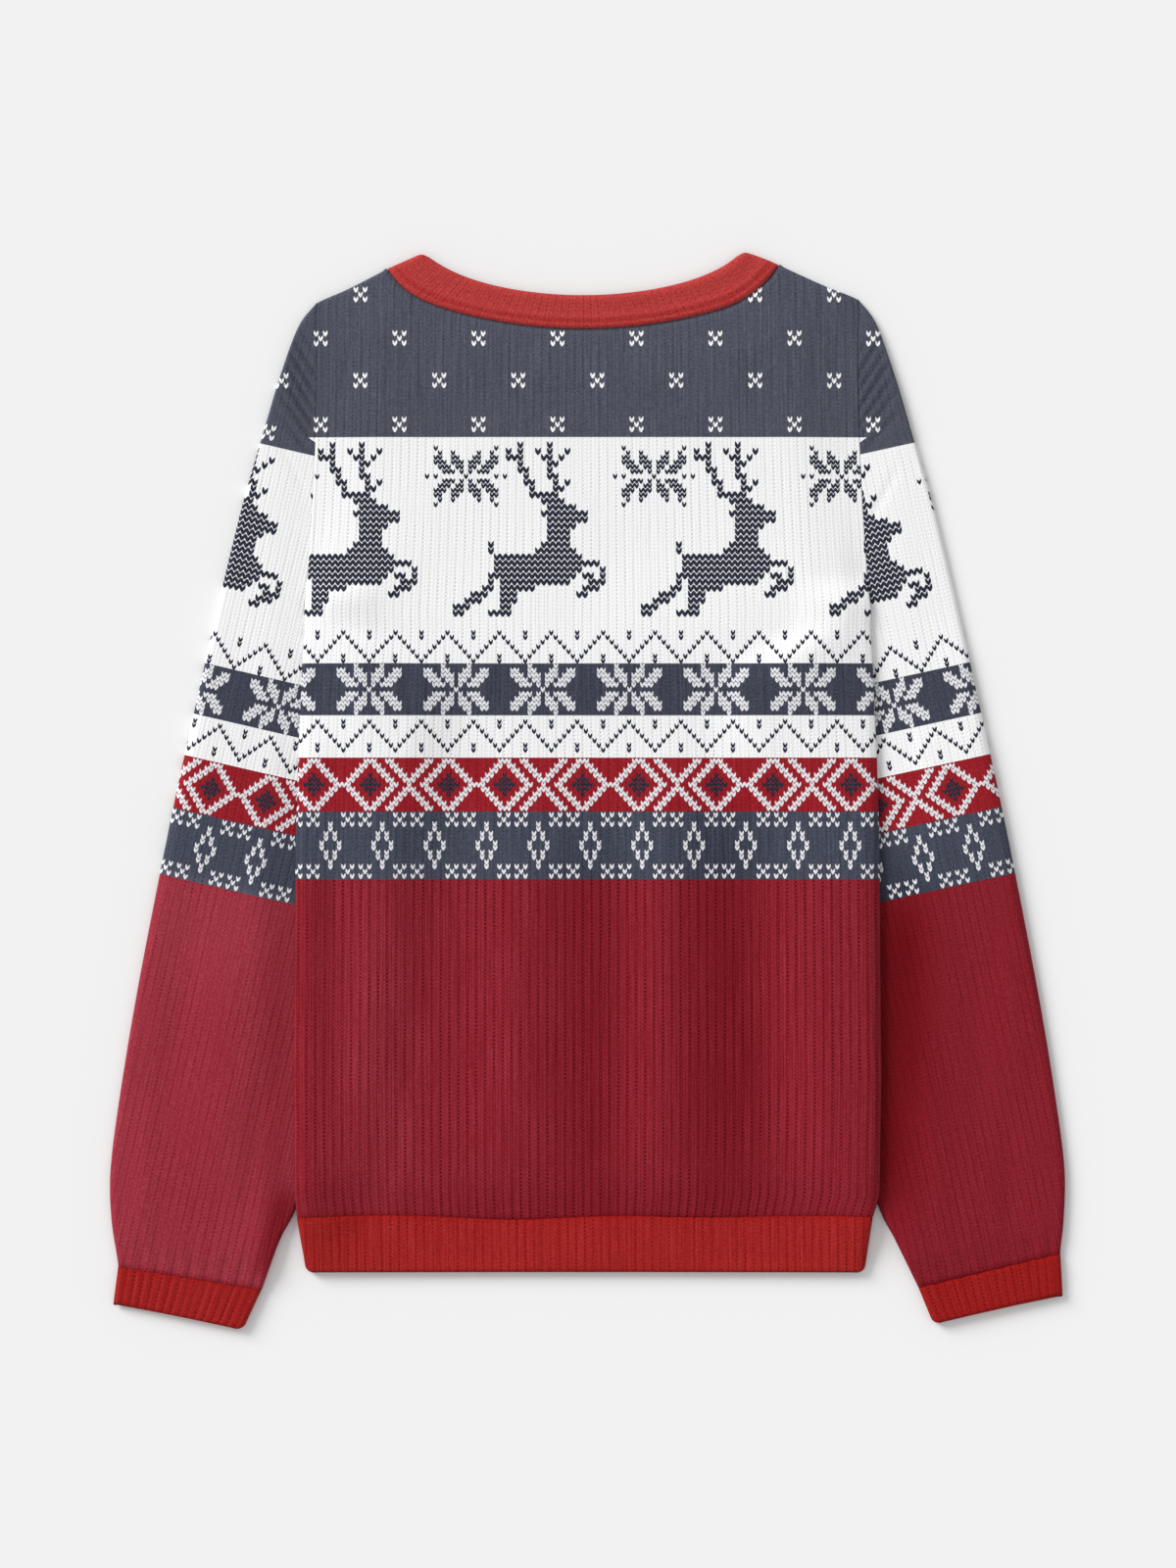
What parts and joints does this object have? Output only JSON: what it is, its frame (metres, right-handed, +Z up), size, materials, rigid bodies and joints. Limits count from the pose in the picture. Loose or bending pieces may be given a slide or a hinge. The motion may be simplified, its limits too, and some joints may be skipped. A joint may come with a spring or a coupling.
{
  "type": "christmas sweater",
  "caption": "Long-sleeved knitted pullover laid flat with its back up, with banded winter patterns and ribbed neck, hem and cuffs.",
  "frame": {"origin": "centre of the laid-out sweater's outline, on the surface that it lies on", "axes": "+Y from the hem to the collar, +Z up off the surface, +X to the wearer's right, because the back is up"},
  "size_m": [0.6316, 0.7144, 0.0108],
  "materials": {
    "patterned_knit": "matt fine rib knit in bands of slate, white, deep red and crimson",
    "brick_rib": "matt double rib in brick red"
  },
  "bodies": {
    "root": {"back_panel": "patterned_knit", "front_panel": "patterned_knit", "sleeve_left": "patterned_knit", "sleeve_right": "patterned_knit", "neckband": "brick_rib", "hem_band": "brick_rib", "cuff_left": "brick_rib", "cuff_right": "brick_rib"}
  },
  "joints": []
}
